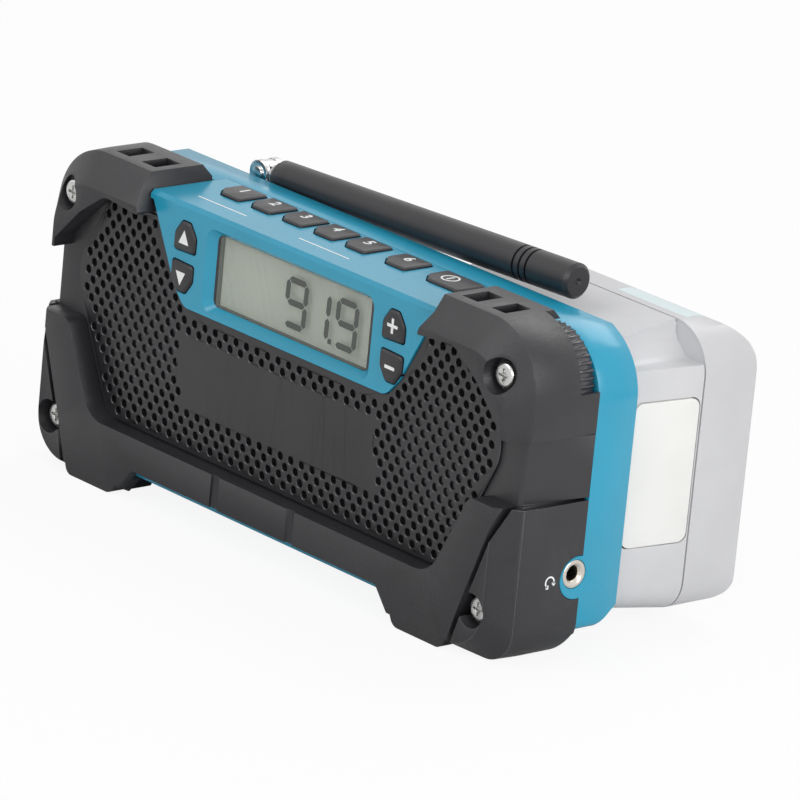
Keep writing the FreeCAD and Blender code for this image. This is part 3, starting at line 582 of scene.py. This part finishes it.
# Marks on the keys: centres, sizes and the two levels of each thin layer of ink
KEY_TOP = 78.0
TOP_INK = (78.01, 78.05)
FRONT_INK = (-11.75, -11.71)
PRESET_CENTRES = (-41.6, -29.6, -17.6, -5.6, 6.4, 21.4)
NUMBER_SHIFT = -0.3
NUMBER_Y = 8.6
NUMBER_SIZE = 4.6
NUMBER_LIFT = 0.03
POWER_CENTRE = (37.6, 7.6)
POWER_RADIUS = 2.2
POWER_RING_WIDTH = 0.5
POWER_RING_STEPS = 48
NEARLY_FULL_TURN = 359.9
POWER_BAR = ((37.6, 6.2), (37.6, 9.0))
POWER_BAR_WIDTH = 0.55
UP_MARK = [(-41.6, 67.2), (-37.8, 67.2), (-39.7, 70.8)]
DOWN_MARK = [(-41.7, 60.0), (-39.9, 56.5), (-38.1, 60.0)]
PLUS_CENTRE = (39.7, 69.0)
PLUS_REACH = 1.9
PLUS_HALF = 0.4
MINUS_BAR = ((38.2, 58.6), (41.8, 58.6))
MINUS_WIDTH = 0.85
KEY_RADIUS = 0.25


class RADIO_OT_keys(bpy.types.Operator):
    """Dresses the eleven keys and adds their plain marks"""
    bl_idname = "radio.keys"
    bl_label = "Keys"
    bl_options = {"REGISTER", "UNDO"}

    def execute(self, context):
        names = ["preset_key_%d" % k for k in range(1, 7)] + ["power_key"]
        names += ["tune_up_key", "tune_down_key", "volume_up_key", "volume_down_key"]
        dress(names, "key", KEY_RADIUS)
        for k, x in enumerate(PRESET_CENTRES):
            glyph_piece("preset_number_%d" % (k + 1), str(k + 1), NUMBER_SIZE,
                        (x + NUMBER_SHIFT, NUMBER_Y, KEY_TOP), (1, 0, 0), (0, 1, 0), NUMBER_LIFT,
                        "ink", "body_preset_key_%d" % (k + 1))
        ring = ring_strip(POWER_CENTRE, POWER_RADIUS, POWER_RING_WIDTH, (0, NEARLY_FULL_TURN),
                          POWER_RING_STEPS)
        plate_piece("power_mark", [ring, bar(*POWER_BAR, POWER_BAR_WIDTH)], Z_AXIS, TOP_INK,
                    "ink", "body_power_key")
        front_marks = (
            ("tune_up", UP_MARK),
            ("tune_down", DOWN_MARK),
            ("volume_up", plus_outline(*PLUS_CENTRE, PLUS_REACH, PLUS_HALF)),
            ("volume_down", bar(*MINUS_BAR, MINUS_WIDTH)),
        )
        for key, outline in front_marks:
            plate_piece(key + "_mark", [outline], Y_AXIS, FRONT_INK, "ink", "body_%s_key" % key)
        return {"FINISHED"}


# Two lines on the deck, and a headphone outline beside the jack, turned a little as in the photo
LINE_Y = -3.7
LINE_ENDS = ((-44.8, -26.2), (-5.9, 13.0))
LINE_WIDTH = 0.5
DECK_INK = (77.31, 77.34)
SIDE_INK = (91.5, 91.54)
BAND_CENTRE = (-0.5, 18.6)
BAND_RADIUS = 1.35
BAND_WIDTH = 0.42
BAND_ARC = (-40, 220)
BAND_STEPS = 32
CUP_WIDTH = 0.8
CUPS = (((-1.75, 17.3), (-1.35, 18.2)), ((0.75, 17.3), (0.35, 18.2)))
HEADPHONE_TURN = math.radians(20)
HEADPHONE_MIDDLE = np.array([-0.5, 18.4])


class RADIO_OT_print(bpy.types.Operator):
    """Adds the two white lines on the deck and the headphone mark on the side"""
    bl_idname = "radio.print"
    bl_label = "Printed lines and marks"
    bl_options = {"REGISTER", "UNDO"}

    def execute(self, context):
        lines = [bar((left, LINE_Y), (right, LINE_Y), LINE_WIDTH) for left, right in LINE_ENDS]
        plate_piece("deck_lines", lines, Z_AXIS, DECK_INK, "ink", "radio")
        shapes = [ring_strip(BAND_CENTRE, BAND_RADIUS, BAND_WIDTH, BAND_ARC, BAND_STEPS)]
        shapes += [bar(*cup, CUP_WIDTH) for cup in CUPS]
        cos = math.cos(HEADPHONE_TURN)
        sin = math.sin(HEADPHONE_TURN)
        spin = np.array([[cos, sin], [-sin, cos]])
        outlines = [(np.asarray(o) - HEADPHONE_MIDDLE) @ spin + HEADPHONE_MIDDLE for o in shapes]
        plate_piece("headphone_mark", outlines, X_AXIS, SIDE_INK, "ink", "radio")
        return {"FINISHED"}


class RADIO_OT_tuning(bpy.types.Operator):
    """Dresses the knurled tuning wheel and its shaft"""
    bl_idname = "radio.tuning"
    bl_label = "Tuning wheel"
    bl_options = {"REGISTER", "UNDO"}

    def execute(self, context):
        tooth_radius = 0.15
        # The lighter strips on the tooth edges are a painted highlight.
        dress(["tuning_wheel"], "wheel", tooth_radius, 1, highlight_material="painted_edge_highlight")
        dress(["tuning_shaft"], "zinc")
        dress(["tuning_encoder"], "black")
        return {"FINISHED"}


class RADIO_OT_speakers(bpy.types.Operator):
    """Dresses both speakers behind the grille"""
    bl_idname = "radio.speakers"
    bl_label = "Speakers"
    bl_options = {"REGISTER", "UNDO"}

    def execute(self, context):
        for side in ("left", "right"):
            dress(["speaker_frame_" + side], "zinc")
            dress(["speaker_cone_" + side], "cone")
            dress(["speaker_magnet_" + side], "ferrite")
        return {"FINISHED"}


class RADIO_OT_metal(bpy.types.Operator):
    """Dresses the corner screws, the headphone jack and the battery terminals"""
    bl_idname = "radio.metal"
    bl_label = "Screws, jack and terminals"
    bl_options = {"REGISTER", "UNDO"}

    def execute(self, context):
        head_radius = 0.1
        ring_radius = 0.25
        dress(["corner_screws"], "zinc", head_radius)
        dress(["jack_ring"], "nickel", ring_radius)
        dress(["jack_body"], "black")
        dress(["terminal_blades"], "contact")
        return {"FINISHED"}


class RADIO_OT_antenna(bpy.types.Operator):
    """Dresses the sheathed whip and its chromed knuckle"""
    bl_idname = "radio.antenna"
    bl_label = "Antenna"
    bl_options = {"REGISTER", "UNDO"}

    def execute(self, context):
        knuckle_radius = 0.2
        dress(["antenna_swivel", "antenna_pin", "antenna_eye"], "chrome", knuckle_radius)
        dress(["antenna_whip"], "sheath")
        return {"FINISHED"}


class RADIO_OT_battery(bpy.types.Operator):
    """Dresses the slide-on battery pack"""
    bl_idname = "radio.battery"
    bl_label = "Battery pack"
    bl_options = {"REGISTER", "UNDO"}

    def execute(self, context):
        button_radius = 0.4
        dress(["battery_lower"], "pack")
        dress(["battery_upper"], "pack_tier")
        dress(["battery_button"], "pack_button", button_radius)
        dress(["battery_label"], "label")
        dress(["battery_spring"], "zinc")
        dress(["battery_cells"], "sleeve")
        return {"FINISHED"}


# Screws on the back of each body: the body's finish and slot, its back's level, centres (x, z)
BACK_SCREWS = {
    "radio": ("teal", "teal_abs", 22.0, [(-80.0, 13.0), (-80.0, 63.0), (1.0, 13.0), (1.0, 66.0)]),
    "battery": ("pack", "pack_grey", 62.0, [(23.0, 16.0), (79.0, 16.0), (23.0, 60.0), (79.0, 60.0)]),
}
# Turned profiles as (radius, rise), and the cross slot of a screw, drawn as a dark strip of painted shade on
# the head
COLLAR = [(0.2, -0.3), (4.1, -0.3), (4.1, 0.25), (3.8, 0.5), (3.3, 0.5), (3.0, 0.2), (0.2, 0.2)]
HEAD = [(0.2, 0.1), (2.6, 0.1), (2.6, 0.55), (2.3, 0.8), (1.2, 0.95), (0.2, 1.0)]
SLOT_REACH = 1.5
SLOT_WIDTH = 0.6
SLOT_RISE = (0.9, 1.04)
# Ribs: piece, body, left and right end, height of the first, pitch, number of ribs, levels
RIBS = (
    ("back_ribs", "radio", -68.0, -14.0, 20.0, 4.5, 6, (21.8, 22.7)),
    ("pack_ribs", "battery", 34.0, 68.0, 30.0, 4.0, 5, (61.8, 62.6)),
)
RIB_WIDTH = 1.6
RIB_RADIUS = 0.35


class RADIO_OT_back(bpy.types.Operator):
    """Adds the screws and the moulded ribs on the back of the shell and of the pack"""
    bl_idname = "radio.back"
    bl_label = "Back screws and ribs"
    bl_options = {"REGISTER", "UNDO"}

    def execute(self, context):
        for body, (finish, slot, level, centres) in BACK_SCREWS.items():
            turned_pieces(body + "_screw_collars", COLLAR, centres, level, finish, body)
            turned_pieces(body + "_screw_heads", HEAD, centres, level, "zinc", body)
            slots = []
            for x, z in centres:
                slots.append(bar((x - SLOT_REACH, z), (x + SLOT_REACH, z), SLOT_WIDTH))
                slots.append(bar((x, z - SLOT_REACH), (x, z + SLOT_REACH), SLOT_WIDTH))
            levels = [level + rise for rise in SLOT_RISE]
            # Each slot is a dark strip laid on the head: painted shade where the slot's recess would be.
            plate_piece(body + "_screw_slots", slots, Y_AXIS, levels, "ferrite", body)
        for name, body, left, right, first, pitch, count, levels in RIBS:
            finish, slot = BACK_SCREWS[body][:2]
            heights = [first + pitch * k for k in range(count)]
            ribs = [bar((left, z), (right, z), RIB_WIDTH) for z in heights]
            piece = plate_piece(name, ribs, Y_AXIS, levels, finish, body)
            edge = piece.modifiers.new("mould radius", "BEVEL")
            edge.width = RIB_RADIUS * MM
            edge.segments = 2
        return {"FINISHED"}


class RADIO_OT_insides(bpy.types.Operator):
    """Dresses the circuit boards inside the case"""
    bl_idname = "radio.insides"
    bl_label = "Circuit boards"
    bl_options = {"REGISTER", "UNDO"}

    def execute(self, context):
        dress(["front_board", "key_board", "main_board"], "board")
        return {"FINISHED"}


# Stage: floor and lamps in metres, the camera's aim in the drawing's millimetres
FLOOR_HALF = 3
FLOOR_WHITE = 0.9
SOFT_LIGHT = 0.34
WHITE = (1, 1, 1, 1)
LAMP_AIM = Vector((0, 0, 0.04))
# Soft boxes: name, place, side and power in watts
LAMPS = (
    ("key_lamp", (-0.25, -0.75, 0.9), 0.7, 3.6),
    ("edge_lamp", (0.95, -0.85, 0.6), 0.25, 2.4),
    ("fill_lamp", (1.1, -0.1, 0.45), 0.6, 5.9),
    ("top_lamp", (-0.2, 0.7, 1.0), 0.8, 5.2),
)
CAMERA_AZIMUTH = math.radians(47.57)
CAMERA_ELEVATION = math.radians(17.30)
CAMERA_ROLL = math.radians(5.55)
CAMERA_AIM = (32.1, 0.0, 46.5)
CAMERA_DISTANCE = 1.798
SENSOR_WIDTH = 36
FOCAL_SHARE = 7414 / 800


def make_floor():
    """Flat square under the feet, white to the camera and pale grey to the light."""
    mesh = bpy.data.meshes.new("floor")
    signs = ((-1, -1), (1, -1), (1, 1), (-1, 1))
    corners = [(FLOOR_HALF * u, FLOOR_HALF * v, 0) for u, v in signs]
    mesh.from_pydata(corners, [], [(0, 1, 2, 3)])
    floor = bpy.data.objects.new("floor", mesh)
    bpy.context.scene.collection.objects.link(floor)
    material = bpy.data.materials.new("matt white paper")
    material.use_nodes = True
    tree = material.node_tree
    tree.nodes.clear()
    paper = add_node(tree, "ShaderNodeBsdfDiffuse", Color=linear("#F4F4F4"))
    path = add_node(tree, "ShaderNodeLightPath")
    white = add_node(tree, "ShaderNodeEmission", Color=WHITE, Strength=1.0)
    part = add_node(tree, "ShaderNodeMath", {0: path.outputs["Is Camera Ray"]}, operation="MULTIPLY")
    part.inputs[1].default_value = FLOOR_WHITE
    mix = add_node(tree, "ShaderNodeMixShader",
                   {0: part.outputs[0], 1: paper.outputs[0], 2: white.outputs[0]})
    add_node(tree, "ShaderNodeOutputMaterial", {"Surface": mix.outputs[0]})
    floor.data.materials.append(material)


def make_world():
    """Soft light from all round, which the camera and mirrors see as plain white."""
    world = bpy.data.worlds.new("soft studio")
    bpy.context.scene.world = world
    world.use_nodes = True
    tree = world.node_tree
    tree.nodes.clear()
    ray = add_node(tree, "ShaderNodeLightPath").outputs
    seen = add_node(tree, "ShaderNodeMath", {0: ray["Is Camera Ray"], 1: ray["Is Glossy Ray"]},
                    operation="MAXIMUM")
    shown = add_node(tree, "ShaderNodeMath", {0: seen.outputs[0], 1: ray["Is Transmission Ray"]},
                     operation="MAXIMUM")
    soft = add_node(tree, "ShaderNodeBackground", Color=WHITE, Strength=SOFT_LIGHT)
    white = add_node(tree, "ShaderNodeBackground", Color=WHITE, Strength=1.0)
    mix = add_node(tree, "ShaderNodeMixShader",
                   {0: shown.outputs[0], 1: soft.outputs[0], 2: white.outputs[0]})
    add_node(tree, "ShaderNodeOutputWorld", {"Surface": mix.outputs[0]})


def make_lamps():
    """Square soft boxes, all turned to the middle of the radio."""
    for name, spot, size, power in LAMPS:
        data = bpy.data.lights.new(name, "AREA")
        data.energy = power
        data.size = size
        lamp = bpy.data.objects.new(name, data)
        lamp.location = spot
        lamp.rotation_euler = (LAMP_AIM - Vector(spot)).to_track_quat("-Z", "Y").to_euler()
        bpy.context.scene.collection.objects.link(lamp)


def make_camera():
    """Long lens from the front right, a little above, rolled as the photograph is."""
    flat = math.cos(CAMERA_ELEVATION)
    back = Vector((math.sin(CAMERA_AZIMUTH) * flat, -math.cos(CAMERA_AZIMUTH) * flat,
                   math.sin(CAMERA_ELEVATION)))
    side = (-back).cross(Vector((0, 0, 1))).normalized()
    top = side.cross(-back)
    right = math.cos(CAMERA_ROLL) * side + math.sin(CAMERA_ROLL) * top
    up = -math.sin(CAMERA_ROLL) * side + math.cos(CAMERA_ROLL) * top
    data = bpy.data.cameras.new("camera")
    data.lens = FOCAL_SHARE * SENSOR_WIDTH
    data.sensor_width = SENSOR_WIDTH
    camera = bpy.data.objects.new("camera", data)
    matrix = Matrix((right, up, back)).transposed().to_4x4()
    matrix.translation = place(*CAMERA_AIM) + back * CAMERA_DISTANCE
    camera.matrix_world = matrix
    bpy.context.scene.collection.objects.link(camera)
    bpy.context.scene.camera = camera
    bpy.context.scene.view_settings.view_transform = "Standard"


class RADIO_OT_stage(bpy.types.Operator):
    """Adds the pale floor, soft lamps and the camera"""
    bl_idname = "radio.stage"
    bl_label = "Stage"
    bl_options = {"REGISTER", "UNDO"}

    def execute(self, context):
        make_floor()
        make_world()
        make_lamps()
        make_camera()
        return {"FINISHED"}


class RADIO_PT_panel(bpy.types.Panel):
    """Lists the settings and the pieces of the radio"""
    bl_label = "Jobsite radio"
    bl_idname = "RADIO_PT_panel"
    bl_space_type = "VIEW_3D"
    bl_region_type = "UI"
    bl_category = "Radio"

    def draw(self, context):
        for name in RadioSettings.__annotations__:
            self.layout.prop(context.scene.radio_settings, name)
        for operator in OPERATORS:
            self.layout.operator(operator.bl_idname)


OPERATORS = (RADIO_OT_finishes, RADIO_OT_stage, RADIO_OT_black_shell, RADIO_OT_teal_shell, RADIO_OT_display,
             RADIO_OT_keys, RADIO_OT_print, RADIO_OT_tuning, RADIO_OT_speakers, RADIO_OT_metal,
             RADIO_OT_antenna, RADIO_OT_battery, RADIO_OT_back, RADIO_OT_insides)


def register():
    """Adds the settings, the operators and the panel to Blender."""
    bpy.utils.register_class(RadioSettings)
    bpy.types.Scene.radio_settings = bpy.props.PointerProperty(type=RadioSettings)
    for operator in OPERATORS:
        bpy.utils.register_class(operator)
    bpy.utils.register_class(RADIO_PT_panel)


def unregister():
    """Takes the panel, the operators and the settings out again."""
    bpy.utils.unregister_class(RADIO_PT_panel)
    for operator in reversed(OPERATORS):
        bpy.utils.unregister_class(operator)
    del bpy.types.Scene.radio_settings
    bpy.utils.unregister_class(RadioSettings)


def main():
    """Builds the whole radio and its stage."""
    register()
    bpy.ops.radio.finishes()
    bpy.ops.radio.stage()
    bpy.ops.radio.black_shell()
    bpy.ops.radio.teal_shell()
    bpy.ops.radio.display()
    bpy.ops.radio.keys()
    bpy.ops.radio.print()
    bpy.ops.radio.tuning()
    bpy.ops.radio.speakers()
    bpy.ops.radio.metal()
    bpy.ops.radio.antenna()
    bpy.ops.radio.battery()
    bpy.ops.radio.back()
    bpy.ops.radio.insides()


if __name__ == "__main__":
    main()
